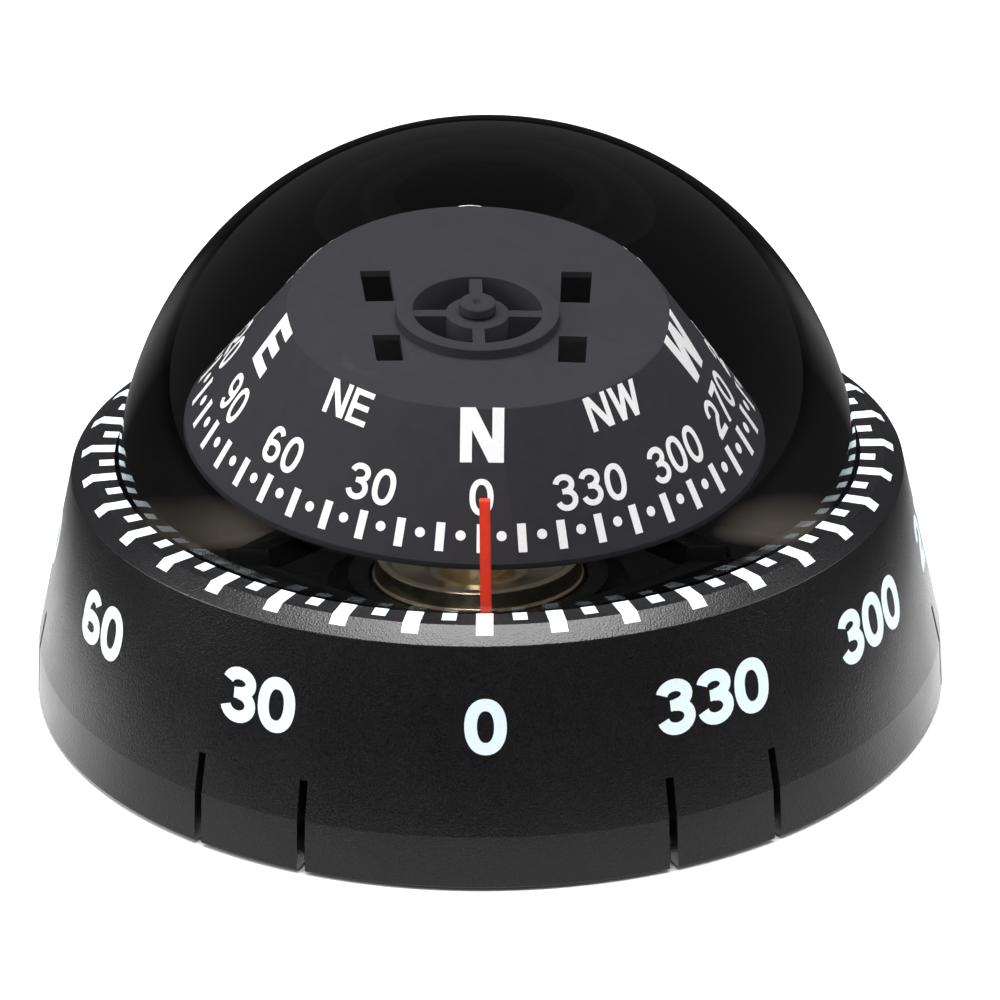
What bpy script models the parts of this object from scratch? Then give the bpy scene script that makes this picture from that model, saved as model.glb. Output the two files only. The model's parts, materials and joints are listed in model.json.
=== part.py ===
"""Surface-mount dome compass for a small boat's deck, as separate pieces.

Metres, +Z up. The origin is at the centre of the underside, and the lubber line faces -Y.
Profiles are (radius, height) pairs in millimetres; MM turns them into metres.
"""

import math

import bmesh
import bpy
from mathutils import Matrix, Vector

MM = 0.001

# Driving dimensions, in millimetres
LEDGE_Z = 29.7            # flat top of the bezel ring
BEZEL_R = 54.6            # bezel ring at its foot
BEZEL_FOOT_Z = 0.4
DOME_R = 44.2             # outside of the dome
DOME_Z = 24.35            # height of the dome's centre
DOME_WALL = 2.3
DOME_INNER_R = DOME_R - DOME_WALL
GIMBAL_Z = 17.0           # height of both gimbal axes
GIMBAL_X = -0.85          # the gimbal ring rests at the left end of its pins' end float
PIVOT_Z = 37.5            # tip of the pivot needle
CARD_LEAN_X = -1.72       # degrees: the card rests a little front-up on its needle
CARD_LEAN_Y = 2.12        # degrees: and a little left-up
CARD_HEADING = 1.7        # degrees that the card's zero stands right of the lubber line
GAP = 0.3                 # between pieces that touch on the real object

# Snap tabs of the bezel ring: six, each between two slots
TAB_COUNT = 6
TAB_FIRST = 30.0          # degrees from the front to the first tab's middle
TAB_HALF = 7.3            # degrees from a tab's middle to its slot
SLOT_WIDTH = 1.0
SLOT_TOP = 11.35
HOOK_HALF = 4.5           # degrees

# Holes for the three screws that hold the compass down
DECK_HOLE_CIRCLE_R = 42.0
DECK_HOLE_R = 2.2
DECK_HOLE_FIRST = 60.0    # degrees from the front
DECK_HOLE_COUNT = 3

# Screw circle of the capsule
SCREW_CIRCLE_R = 46.4
SCREW_COUNT = 6           # every second one goes on into the base
SCREW_HEAD_R = 1.45
SCREW_SHANK_R = 0.9
SCREW_CLEARANCE_R = 1.3
THREAD_HOLE_R = 1.2
SCREW_HEAD_Z = 21.6
RETAINER_SCREW_END = 11.0
CAPSULE_SCREW_END = 7.8

# Diaphragm cover and fill plug
COVER_SCREW_R = 15.8
COVER_SCREW_COUNT = 3
FILL_PLUG_AT = (18.4, 18.4)

# Gimbal
PIN_R = 0.7
PIN_HOLE_R = 1.0
YOKE_POST_IN = 22.6
YOKE_POST_OUT = 25.4
YOKE_POST_HALF = 2.5
YOKE_POST_ARCH = ((2.5, 17.2), (1.8, 17.9), (0.7, 18.4))   # half of a post's rounded top
RING_OUTER = 15.1         # middle of the ring's centre line sides, from its centre
RING_INNER = 13.1
RING_TIP_OUTER = 19.6     # where the ring's four corners are cut off
RING_TIP_INNER = 17.2
RING_HALF_Z = 1.0
ARM_HALF = 1.8
ARM_START = 13.2
ARM_END = 16.0
FRAME_RING_R = 10.4
FRAME_RING_HOLE = 8.75

# Card, heights from the needle's tip
CARD_TOP_R = 17.05
CARD_TOP = 2.8
CARD_RIM_R = 24.3
CARD_RIM = -10.6
CARD_WALL = 0.6
HUB_RING_R = 7.2
HUB_HOLE_R = 5.7
HUB_TOP = 3.85
HUB_WALL = 0.7
BOSS_R = 2.8
BOSS_TOP = 3.65
HUB_FOOT = -0.2           # lower end of the hub ring, its spokes and its boss
SPOKE_HALF = 0.55
WINDOW_AT = (8.35, 5.35)  # middle of each rectangular window, from the middle of all four
WINDOW_SHIFT = (0.1, 0.45)
WINDOW_SIZE = (2.55, 4.85)
MAGNET_X = 12.0
MAGNET_SIZE = (2.0, 16.0)

# Sides of a round piece
SEGMENTS = 36             # inside pieces
INNER_SEGMENTS = 28       # pieces of the pendulum and the underside
SHOWN_SEGMENTS = 44       # dome and card
BEZEL_SEGMENTS = 72
SMALL_SEGMENTS = 14
TINY_SEGMENTS = 8
DOME_STEPS = 8            # from the dome's widest ring to its top
SHARP_ANGLE = math.radians(30)


def clear_scene():
    for obj in list(bpy.data.objects):
        bpy.data.objects.remove(obj, do_unlink=True)


def plastic(name, color, roughness, metallic=0.0, transmission=0.0):
    material = bpy.data.materials.new(name)
    material.use_nodes = True
    shader = material.node_tree.nodes["Principled BSDF"]
    shader.inputs["Base Color"].default_value = (*color, 1.0)
    shader.inputs["Roughness"].default_value = roughness
    shader.inputs["Metallic"].default_value = metallic
    shader.inputs["Transmission Weight"].default_value = transmission
    return material


def at(radius, degrees_from_front, height=0.0):
    """A point at this angle from the front, growing towards +X, in millimetres."""
    turn = math.radians(degrees_from_front)
    return Vector((radius * math.sin(turn), -radius * math.cos(turn), height))


def finish_mesh(bm, name):
    bmesh.ops.remove_doubles(bm, verts=bm.verts, dist=1e-7)
    bmesh.ops.recalc_face_normals(bm, faces=bm.faces)
    mesh = bpy.data.meshes.new(name)
    bm.to_mesh(mesh)
    bm.free()
    mesh.shade_smooth()
    mesh.set_sharp_from_angle(angle=SHARP_ANGLE)
    return mesh


def add_object(name, bm, material, parent=None, location=(0.0, 0.0, 0.0)):
    obj = bpy.data.objects.new(name, finish_mesh(bm, name))
    bpy.context.scene.collection.objects.link(obj)
    obj.location = Vector(location) * MM
    obj.parent = parent
    if material is not None:
        obj.data.materials.append(material)
    return obj


def add_axis(name, location, parent=None, lean=(0.0, 0.0, 0.0)):
    """An empty on a joint's axis; the body's pieces hang from it."""
    empty = bpy.data.objects.new(name, None)
    bpy.context.scene.collection.objects.link(empty)
    empty.location = Vector(location) * MM
    empty.rotation_euler = [math.radians(angle) for angle in lean]
    empty.parent = parent
    return empty


def helper(obj):
    """Marks a cutter or a lump that a Boolean reads."""
    obj.hide_render = True
    obj.display_type = "WIRE"
    return obj


def boolean(obj, other, operation):
    modifier = obj.modifiers.new(other.name, "BOOLEAN")
    modifier.operation = operation
    modifier.solver = "EXACT"
    modifier.object = helper(other)


def cut(obj, other):
    boolean(obj, other, "DIFFERENCE")


def join(obj, other):
    boolean(obj, other, "UNION")


def add_turned(bm, profile, segments=SEGMENTS, centre=(0.0, 0.0)):
    """Spins a profile round a vertical axis. A profile that ends on the axis at both ends is open
    there; any other profile is closed into a ring."""
    points = [Vector((r + centre[0], centre[1], z)) * MM for r, z in profile]
    verts = [bm.verts.new(point) for point in points]
    edges = [bm.edges.new(pair) for pair in zip(verts, verts[1:])]
    if profile[0][0] > 0.0 or profile[-1][0] > 0.0:
        edges.append(bm.edges.new((verts[-1], verts[0])))
    middle = Vector((centre[0], centre[1], 0.0)) * MM
    bmesh.ops.spin(
        bm, geom=verts + edges, cent=middle, axis=(0.0, 0.0, 1.0), angle=2 * math.pi,
        steps=segments, use_merge=True,
    )


def add_arc_block(bm, profile, start, end, steps):
    """A block with this profile between two angles from the front, closed by flat ends."""
    rows = []
    for step in range(steps + 1):
        angle = start + (end - start) * step / steps
        rows.append([bm.verts.new(at(r, angle, z) * MM) for r, z in profile])
    for row, following in zip(rows, rows[1:]):
        for i in range(len(profile)):
            j = (i + 1) % len(profile)
            bm.faces.new((row[i], row[j], following[j], following[i]))
    bm.faces.new(rows[0])
    bm.faces.new(list(reversed(rows[-1])))


def add_box(bm, low, high, turn=0.0):
    """A box between two corners, in millimetres, then turned about Z by this many degrees."""
    low, high = Vector(low), Vector(high)
    matrix = (
        Matrix.Rotation(math.radians(turn), 4, "Z")
        @ Matrix.Translation((low + high) / 2 * MM)
        @ Matrix.Diagonal((*((high - low) * MM), 1.0))
    )
    bmesh.ops.create_cube(bm, size=1.0, matrix=matrix)


def add_slab(bm, outline, start, end):
    """An outline of (y, z) points, drawn out from one x to another."""
    rows = [[bm.verts.new(Vector((x, y, z)) * MM) for y, z in outline] for x in (start, end)]
    for i in range(len(outline)):
        j = (i + 1) % len(outline)
        bm.faces.new((rows[0][i], rows[0][j], rows[1][j], rows[1][i]))
    bm.faces.new(rows[0])
    bm.faces.new(rows[1][::-1])


def add_rod(bm, start, end, radius, segments=SMALL_SEGMENTS):
    """A cylinder between two points, in millimetres."""
    start, end = Vector(start), Vector(end)
    along = (end - start).normalized()
    turn = Vector((0.0, 0.0, 1.0)).rotation_difference(along).to_matrix().to_4x4()
    matrix = Matrix.Translation((start + end) / 2 * MM) @ turn
    bmesh.ops.create_cone(
        bm, cap_ends=True, segments=segments, radius1=radius * MM, radius2=radius * MM,
        depth=(end - start).length * MM, matrix=matrix,
    )


def turned(name, profile, material, parent=None, location=(0.0, 0.0, 0.0), segments=SEGMENTS):
    bm = bmesh.new()
    add_turned(bm, profile, segments)
    return add_object(name, bm, material, parent, location)


def rods(name, ends, radius, parent=None, location=(0.0, 0.0, 0.0), segments=TINY_SEGMENTS):
    """Several separate cylinders as one helper, for a Boolean."""
    bm = bmesh.new()
    for start, end in ends:
        add_rod(bm, start, end, radius, segments)
    return add_object(name, bm, None, parent, location)


def rod_piece(name, start, end, radius, material, parent):
    bm = bmesh.new()
    add_rod(bm, start, end, radius)
    return add_object(name, bm, material, parent)


def ring_of_points(radius, z, which, count=SCREW_COUNT):
    return [at(radius, 360.0 * k / count, z) for k in which]


RETAINER_PLACES = range(1, SCREW_COUNT, 2)
CAPSULE_PLACES = range(0, SCREW_COUNT, 2)


def upright(points, low, high):
    """The ends of upright rods through these points."""
    return [((p.x, p.y, low), (p.x, p.y, high)) for p in points]


def round_section(ring_r, height, radius, sides=6):
    """The section of an O-ring, as a profile."""
    turns = [2 * math.pi * k / sides for k in range(sides)]
    return [(ring_r + radius * math.cos(a), height + radius * math.sin(a)) for a in turns]


def make_bezel(black, axis):
    profile = [
        (BEZEL_R, BEZEL_FOOT_Z), (BEZEL_R - 2.0, BEZEL_FOOT_Z), (52.2, 6.7), (47.6, 27.2), (46.4, 28.0),
        (44.5, 28.3), (44.5, LEDGE_Z), (47.05, LEDGE_Z), (49.4, 28.2), (54.2, 6.7),
    ]
    bezel = turned("bezel_ring", profile, black, axis, segments=BEZEL_SEGMENTS)
    tabs = [TAB_FIRST + 360.0 * k / TAB_COUNT for k in range(TAB_COUNT)]
    bm = bmesh.new()
    for tab in tabs:
        hook = [(50.1, 3.4), (50.5, 2.9), (53.0, 2.9), (53.0, 4.4), (50.1, 4.4)]
        add_arc_block(bm, hook, tab - HOOK_HALF, tab + HOOK_HALF, 3)
    join(bezel, add_object("bezel_hooks", bm, None, axis))
    bm = bmesh.new()
    for tab in tabs:
        for side in (-TAB_HALF, TAB_HALF):
            half = SLOT_WIDTH / 2
            add_box(bm, (-half, -BEZEL_R - 3.0, -2.0), (half, -BEZEL_R + 6.0, SLOT_TOP), tab + side)
    cut(bezel, add_object("bezel_slots", bm, None, axis))
    return bezel


def make_base(black, rubber):
    step = 360.0 / DECK_HOLE_COUNT
    deck_holes = [
        at(DECK_HOLE_CIRCLE_R, DECK_HOLE_FIRST + step * k) for k in range(DECK_HOLE_COUNT)
    ]
    gasket = turned("deck_gasket", [(36.0, 0.0), (36.0, 1.0), (50.6, 1.0), (50.6, 0.0)], rubber)
    cut(gasket, rods("gasket_deck_holes", upright(deck_holes, -1.0, 2.0), DECK_HOLE_R + 0.4))
    profile = [
        (33.0, 1.3), (33.0, 3.5), (47.4, 3.5), (47.4, 7.0), (50.4, 7.0), (50.9, 6.2), (50.9, 4.7),
        (49.7, 4.7), (49.7, 2.6), (50.9, 2.6), (50.9, 1.3),
    ]
    base = turned("mounting_base", profile, black)
    pillars = ring_of_points(SCREW_CIRCLE_R, 0.0, CAPSULE_PLACES)
    join(base, rods("base_pillars", upright(pillars, 2.5, 13.5), 2.6))
    cut(base, rods("base_thread_holes", upright(pillars, 7.0, 15.0), THREAD_HOLE_R))
    through = upright(deck_holes, 0.0, 5.0)
    cut(base, rods("base_deck_holes", through, DECK_HOLE_R, segments=SMALL_SEGMENTS))


def make_bowl(black):
    profile = [
        (5.0, 4.4), (5.0, 6.0), (35.5, 6.0), (38.5, 8.0), (40.6, 11.0), (41.7, 14.5), (41.9, 16.9),
        (42.9, 16.9), (42.9, 15.3), (44.6, 15.3), (44.6, 16.9), (48.2, 16.9), (48.2, 13.8),
        (43.4, 13.8), (42.2, 10.0), (39.6, 6.2), (36.0, 4.4),
    ]
    bowl = turned("capsule_bowl", profile, black)
    bosses = ring_of_points(SCREW_CIRCLE_R, 0.0, RETAINER_PLACES)
    join(bowl, rods("bowl_bosses", upright(bosses, 9.5, 14.5), 2.3))
    cut(bowl, rods("bowl_thread_holes", upright(bosses, 10.5, 18.0), THREAD_HOLE_R))
    through = ring_of_points(SCREW_CIRCLE_R, 0.0, CAPSULE_PLACES)
    cut(bowl, rods("bowl_screw_holes", upright(through, 12.0, 18.0), SCREW_CLEARANCE_R))
    small = ring_of_points(COVER_SCREW_R, 0.0, range(COVER_SCREW_COUNT), COVER_SCREW_COUNT)
    cut(bowl, rods("bowl_cover_holes", upright(small, 3.0, 5.4), 1.0))
    plug = [Vector((*FILL_PLUG_AT, 0.0))]
    cut(bowl, rods("bowl_fill_hole", upright(plug, 3.0, 8.0), 2.2, segments=SMALL_SEGMENTS))


def make_dome(clear, rubber, black, steel):
    arc = [math.radians(90.0 * k / DOME_STEPS) for k in range(DOME_STEPS)]
    outer = [(DOME_R * math.cos(a), DOME_Z + DOME_R * math.sin(a)) for a in arc]
    inner = [(DOME_INNER_R * math.cos(a), DOME_Z + DOME_INNER_R * math.sin(a)) for a in arc]
    profile = [(0.0, DOME_Z + DOME_R)] + outer[::-1]
    profile += [(DOME_R, 19.2), (48.2, 19.2), (48.2, 17.2), (DOME_INNER_R, 17.2)]
    profile += inner + [(0.0, DOME_Z + DOME_INNER_R)]
    dome = turned("dome", profile, clear, segments=SHOWN_SEGMENTS)
    places = ring_of_points(SCREW_CIRCLE_R, 0.0, range(SCREW_COUNT))
    cut(dome, rods("dome_screw_holes", upright(places, 16.0, 20.5), SCREW_CLEARANCE_R))

    seal_r, seal_z, seal_section = 43.75, 16.2, 0.55
    turned("dome_seal", round_section(seal_r, seal_z, seal_section), rubber)

    ring = turned("retainer_ring", [(44.6, 19.5), (44.6, 21.3), (48.2, 21.3), (48.2, 19.5)], black)
    cut(ring, rods("retainer_screw_holes", upright(places, 19.0, 22.0), SCREW_CLEARANCE_R))
    make_screws("retainer_screw", RETAINER_PLACES, RETAINER_SCREW_END, steel)
    make_screws("capsule_screw", CAPSULE_PLACES, CAPSULE_SCREW_END, steel)


def make_screws(name, places, end, steel):
    """Pan-head screws of the capsule, which differ only in length."""
    head_top = SCREW_HEAD_Z + 1.1
    profile = [
        (0.0, head_top), (SCREW_HEAD_R * 0.75, head_top), (SCREW_HEAD_R, head_top - 0.35),
        (SCREW_HEAD_R, SCREW_HEAD_Z), (SCREW_SHANK_R, SCREW_HEAD_Z), (SCREW_SHANK_R, end + 0.6),
        (0.0, end),
    ]
    for number, place in enumerate(ring_of_points(SCREW_CIRCLE_R, 0.0, places), 1):
        turned(f"{name}_{number}", profile, steel, location=place, segments=TINY_SEGMENTS)


def make_underside(rubber, black, brass, steel):
    """The diaphragm that takes up the oil's expansion, its cover, and the filling plug."""
    web = [
        (0.0, 3.5), (7.0, 3.5), (8.5, 3.9), (10.0, 3.5), (11.8, 3.5), (11.8, 4.1), (13.2, 4.1),
        (13.2, 2.2), (11.8, 2.2), (11.8, 2.9), (10.0, 2.9), (8.5, 3.3), (7.0, 2.9), (0.0, 2.9),
    ]
    turned("diaphragm", web, rubber, segments=INNER_SEGMENTS)
    cup = [(1.5, 0.9), (1.5, 1.9), (13.6, 1.9), (13.6, 4.1), (18.0, 4.1), (18.0, 0.9)]
    cover = turned("diaphragm_cover", cup, black, segments=INNER_SEGMENTS)
    places = ring_of_points(COVER_SCREW_R, 0.0, range(COVER_SCREW_COUNT), COVER_SCREW_COUNT)
    cut(cover, rods("cover_counterbores", upright(places, 0.0, 2.2), 1.75, segments=SMALL_SEGMENTS))
    cut(cover, rods("cover_screw_holes", upright(places, 1.0, 5.0), 1.0))
    screw = [(0.0, 5.1), (0.7, 4.8), (0.7, 1.9), (1.4, 1.9), (1.4, 1.0), (0.0, 1.0)]
    for number, place in enumerate(places, 1):
        turned(f"cover_screw_{number}", screw, steel, location=place, segments=TINY_SEGMENTS)

    at_plug = (*FILL_PLUG_AT, 0.0)
    plug = [(0.0, 5.8), (1.9, 5.8), (1.9, 3.2), (3.2, 3.2), (3.2, 2.2), (0.0, 2.2)]
    plug = turned("fill_plug", plug, brass, location=at_plug, segments=SMALL_SEGMENTS)
    bm = bmesh.new()
    add_box(bm, (-4.0, -0.4, 1.0), (4.0, 0.4, 2.7))
    cut(plug, add_object("fill_plug_slot", bm, None, location=at_plug))
    seal = round_section(2.75, 3.8, 0.3)
    turned("fill_plug_seal", seal, rubber, location=at_plug, segments=SMALL_SEGMENTS)


def make_lubber(red):
    bm = bmesh.new()
    add_box(bm, (-0.45, -28.45, 6.9), (0.45, -27.55, 36.5))
    post = add_object("lubber_post", bm, red)
    bm = bmesh.new()
    add_box(bm, (-2.2, -30.2, 6.0 + GAP), (2.2, -27.2, 7.6))
    join(post, add_object("lubber_foot", bm, None))


def make_yoke(black):
    foot = [(21.5, 6.0 + GAP), (21.5, 7.8), (YOKE_POST_OUT, 7.8), (YOKE_POST_OUT, 6.0 + GAP)]
    yoke = turned("gimbal_yoke", foot, black)
    arch = list(YOKE_POST_ARCH)
    outline = [(YOKE_POST_HALF, 7.0), *arch, *[(-y, z) for y, z in arch[::-1]], (-YOKE_POST_HALF, 7.0)]
    bm = bmesh.new()
    for side in (-1, 1):
        add_slab(bm, outline, side * YOKE_POST_IN, side * (YOKE_POST_OUT - 0.3))
    join(yoke, add_object("yoke_posts", bm, None))
    holes = [((side * 20.0, 0.0, GIMBAL_Z), (side * 28.0, 0.0, GIMBAL_Z)) for side in (-1, 1)]
    cut(yoke, rods("yoke_pin_holes", holes, PIN_HOLE_R))


def diamond(apothem, tip):
    """A square turned by 45 degrees, with its four corners cut off at the tip's distance."""
    back = apothem * math.sqrt(2) - tip
    points = []
    for quarter in range(4):
        turn = Matrix.Rotation(math.radians(90 * quarter), 3, "Z")
        points += [turn @ Vector((tip, -back, 0.0)), turn @ Vector((tip, back, 0.0))]
    return points


def make_gimbal_ring(black, steel, axis):
    """The ring turns about X on two pins in the yoke. Its sides run between four cut-off corners."""
    bm = bmesh.new()
    loops = []
    for apothem, tip in ((RING_OUTER, RING_TIP_OUTER), (RING_INNER, RING_TIP_INNER)):
        for z in (-RING_HALF_Z, RING_HALF_Z):
            lift = Vector((0.0, 0.0, z))
            loops.append([bm.verts.new((p + lift) * MM) for p in diamond(apothem, tip)])
    for first, second in ((0, 1), (1, 3), (3, 2), (2, 0)):
        for i in range(8):
            j = (i + 1) % 8
            bm.faces.new((loops[first][i], loops[first][j], loops[second][j], loops[second][i]))
    ring = add_object("gimbal_ring", bm, black, axis)

    directions = [Vector((1.0, 0.0, 0.0)), Vector((-1.0, 0.0, 0.0)),
                  Vector((0.0, 1.0, 0.0)), Vector((0.0, -1.0, 0.0))]
    bosses = [(way * 17.0, way * 20.2) for way in directions]
    join(ring, rods("ring_bosses", bosses, 1.8, axis, segments=SMALL_SEGMENTS))
    holes = [(way * 15.0, way * 22.0) for way in directions]
    cut(ring, rods("ring_pin_holes", holes, PIN_HOLE_R, axis))
    for name, way in (("roll_pin_left", directions[1]), ("roll_pin_right", directions[0])):
        rod_piece(name, way * 17.4, way * 25.6, PIN_R, steel, axis)


def make_pendulum(black, brass, dark_brass, steel, axis):
    """The frame turns about Y in the ring; a weight keeps the needle upright."""
    low, high = 15.8 - GIMBAL_Z, 16.4 - GIMBAL_Z
    ring = [(FRAME_RING_HOLE, low), (FRAME_RING_HOLE, high), (FRAME_RING_R, high), (FRAME_RING_R, low)]
    frame = turned("pendulum_frame", ring, black, axis, segments=INNER_SEGMENTS)
    bm = bmesh.new()
    for side in (-1, 1):
        ys = sorted((side * ARM_START, side * ARM_END))
        add_box(bm, (-ARM_HALF, ys[0], -1.4), (ARM_HALF, ys[1], 1.4))
    join(frame, add_object("pendulum_arms", bm, None, axis))
    bm = bmesh.new()
    for side in (-1, 1):
        ys = sorted((side * (FRAME_RING_R - 1.2), side * (ARM_START + 0.5)))
        add_box(bm, (-ARM_HALF + 0.2, ys[0], low + 0.05), (ARM_HALF - 0.2, ys[1], high - 0.05))
    join(frame, add_object("pendulum_links", bm, None, axis))
    ends = {"pitch_pin_front": -1, "pitch_pin_back": 1}
    holes = [((0.0, side * 13.0, 0.0), (0.0, side * 18.0, 0.0)) for side in ends.values()]
    cut(frame, rods("pendulum_pin_holes", holes, PIN_HOLE_R, axis))
    for name, side in ends.items():
        rod_piece(name, (0.0, side * 13.3, 0.0), (0.0, side * 20.0, 0.0), PIN_R, steel, axis)

    weight = [
        (0.0, -1.5), (12.0, -1.5), (12.0, -6.0), (10.4, -7.4), (8.0, -8.4), (5.5, -9.3), (2.5, -9.9),
        (0.0, -10.1),
    ]
    turned("pendulum_weight", weight, dark_brass, axis, segments=INNER_SEGMENTS)
    dish = [
        (0.0, -1.2), (8.45, -1.2), (8.45, -0.45), (8.2, -0.4), (8.2, 1.2), (7.5, 1.2), (7.0, 0.55),
        (4.2, 0.3), (3.9, -0.3), (3.0, -0.3), (3.0, 2.2), (1.2, 2.2), (1.2, 0.0), (0.0, 0.0),
    ]
    turned("pivot_seat", dish[::-1], brass, axis, segments=INNER_SEGMENTS)
    tip = PIVOT_Z - GIMBAL_Z
    needle = [(0.0, tip), (0.9, tip - 2.85), (0.9, GAP), (0.0, GAP)]
    turned("pivot_stem", needle, steel, axis, segments=TINY_SEGMENTS)


def make_card(card_black, black, ruby, steel, axis):
    """Everything that turns on the needle's tip, which is the origin of this group."""
    slope = (CARD_RIM_R - CARD_TOP_R) / (CARD_TOP - CARD_RIM)
    inner_top = CARD_TOP_R - CARD_WALL * 0.6
    profile = [
        (HUB_HOLE_R, HUB_FOOT), (HUB_HOLE_R, HUB_TOP), (HUB_RING_R, HUB_TOP),
        (HUB_RING_R, CARD_TOP), (CARD_TOP_R, CARD_TOP), (CARD_RIM_R, CARD_RIM),
        (CARD_RIM_R, CARD_RIM - 0.6), (CARD_RIM_R - 1.0, CARD_RIM - 0.6),
        (inner_top + slope * CARD_WALL, CARD_TOP - CARD_WALL),
        (HUB_HOLE_R + HUB_WALL, CARD_TOP - CARD_WALL), (HUB_HOLE_R + HUB_WALL, HUB_FOOT),
    ]
    card = turned("compass_card", profile, card_black, axis, segments=SHOWN_SEGMENTS)
    bm = bmesh.new()
    boss = [
        (1.1, BOSS_TOP), (BOSS_R, BOSS_TOP), (BOSS_R, HUB_FOOT), (1.9, HUB_FOOT), (1.9, 2.6), (1.1, 2.6),
    ]
    add_turned(bm, boss, SMALL_SEGMENTS)
    boss = add_object("card_boss", bm, None, axis)
    bm = bmesh.new()
    for turn in range(4):
        add_box(bm, (2.4, -SPOKE_HALF, HUB_FOOT), (6.0, SPOKE_HALF, BOSS_TOP - 0.05), 90.0 * turn)
    spokes = add_object("card_spokes", bm, None, axis)
    join(card, spokes)
    join(card, boss)
    bm = bmesh.new()
    for x_side in (-1, 1):
        for y_side in (-1, 1):
            x = x_side * WINDOW_AT[0] + WINDOW_SHIFT[0]
            y = y_side * WINDOW_AT[1] + WINDOW_SHIFT[1]
            half_x, half_y = WINDOW_SIZE[0] / 2, WINDOW_SIZE[1] / 2
            add_box(bm, (x - half_x, y - half_y, 0.0), (x + half_x, y + half_y, 5.0))
    cut(card, add_object("card_windows", bm, None, axis))

    cup = [
        (0.0, 4.85), (1.62, 4.85), (1.62, BOSS_TOP + GAP), (0.8, BOSS_TOP + GAP), (0.8, 2.3), (1.6, 2.3),
        (1.6, -1.0), (1.0, -1.0), (1.0, 1.2), (0.0, 1.2),
    ]
    turned("jewel_cup", cup, card_black, axis, segments=SMALL_SEGMENTS)
    turned("jewel", [(0.0, 0.9), (0.7, 0.9), (0.7, 0.3), (0.0, 0.3)], ruby, axis,
           segments=TINY_SEGMENTS)

    plate = [(9.8, -6.2), (9.8, -5.4), (14.2, -5.4), (14.2, -6.2)]
    carrier = turned("magnet_carrier", plate, black, axis, segments=INNER_SEGMENTS)
    bm = bmesh.new()
    for x_side in (-1, 1):
        for y_side in (-1, 1):
            xs = sorted((x_side * 10.4, x_side * 11.4))
            ys = sorted((y_side * 3.3, y_side * 7.3))
            add_box(bm, (xs[0], ys[0], -5.7), (xs[1], ys[1], CARD_TOP - CARD_WALL - GAP))
    join(carrier, add_object("carrier_legs", bm, None, axis))
    half_x, half_y, low, high = MAGNET_SIZE[0] / 2, MAGNET_SIZE[1] / 2, -8.0, -6.5
    for name, x in (("magnet_left", -MAGNET_X), ("magnet_right", MAGNET_X)):
        bm = bmesh.new()
        add_box(bm, (x - half_x, -half_y, low), (x + half_x, half_y, high))
        add_object(name, bm, steel, axis)


def main():
    clear_scene()
    black = plastic("black moulding", (0.012, 0.012, 0.013), 0.45)
    card_black = plastic("card black", (0.02, 0.02, 0.023), 0.5)
    clear = plastic("clear acrylic", (0.95, 0.96, 0.96), 0.02, transmission=1.0)
    rubber = plastic("black rubber", (0.01, 0.01, 0.01), 0.8)
    brass = plastic("brass", (0.65, 0.5, 0.26), 0.25, metallic=1.0)
    dark_brass = plastic("blackened brass", (0.03, 0.028, 0.025), 0.5, metallic=0.6)
    steel = plastic("stainless steel", (0.55, 0.55, 0.56), 0.3, metallic=1.0)
    red = plastic("lubber red", (0.75, 0.04, 0.015), 0.4)
    ruby = plastic("ruby", (0.4, 0.01, 0.03), 0.05)

    bezel_axis = add_axis("bezel_axis", (0.0, 0.0, 0.0))
    gimbal_axis = add_axis("gimbal_axis", (GIMBAL_X, 0.0, GIMBAL_Z))
    pendulum_axis = add_axis("pendulum_axis", (0.0, 0.0, 0.0), gimbal_axis)
    lean = (CARD_LEAN_X, CARD_LEAN_Y, 0.0)
    card_lean = add_axis("card_lean", (0.0, 0.0, PIVOT_Z - GIMBAL_Z), pendulum_axis, lean)
    card_axis = add_axis("card_axis", (0.0, 0.0, 0.0), card_lean, (0.0, 0.0, CARD_HEADING))

    make_base(black, rubber)
    make_bowl(black)
    make_dome(clear, rubber, black, steel)
    make_underside(rubber, black, brass, steel)
    make_lubber(red)
    make_yoke(black)
    make_gimbal_ring(black, steel, gimbal_axis)
    make_pendulum(black, brass, dark_brass, steel, pendulum_axis)
    make_card(card_black, black, ruby, steel, card_axis)
    make_bezel(black, bezel_axis)


main()
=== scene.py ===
"""Looks for the dome compass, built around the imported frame: fine surfaces, markings, materials,
camera and light.

Lengths are in millimetres, and MM turns them into metres. Angles are in degrees from the front (-Y)
and grow towards +X. A profile is a list of (radius, height) pairs, or of (radius, height, rounding).
"""

import json
import math

import bmesh
import bpy
from mathutils import Matrix, Vector


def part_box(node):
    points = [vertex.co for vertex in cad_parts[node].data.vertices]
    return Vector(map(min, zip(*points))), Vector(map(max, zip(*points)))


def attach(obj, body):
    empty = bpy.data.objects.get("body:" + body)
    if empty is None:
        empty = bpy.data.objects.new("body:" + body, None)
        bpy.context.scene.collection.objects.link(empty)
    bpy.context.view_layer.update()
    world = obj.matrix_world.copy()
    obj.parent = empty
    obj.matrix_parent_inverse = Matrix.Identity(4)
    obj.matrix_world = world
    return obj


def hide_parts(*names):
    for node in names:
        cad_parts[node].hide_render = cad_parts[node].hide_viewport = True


MM = 0.001

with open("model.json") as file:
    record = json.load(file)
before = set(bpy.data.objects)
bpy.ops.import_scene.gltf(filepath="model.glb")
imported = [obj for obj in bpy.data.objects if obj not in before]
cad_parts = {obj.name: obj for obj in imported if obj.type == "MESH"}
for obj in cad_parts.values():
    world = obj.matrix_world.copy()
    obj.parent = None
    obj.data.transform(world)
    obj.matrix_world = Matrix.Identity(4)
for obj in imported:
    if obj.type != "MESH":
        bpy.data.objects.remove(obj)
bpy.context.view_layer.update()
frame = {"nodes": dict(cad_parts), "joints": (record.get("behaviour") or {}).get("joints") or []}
JOINTS = {joint["name"]: joint for joint in frame["joints"]}


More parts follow.
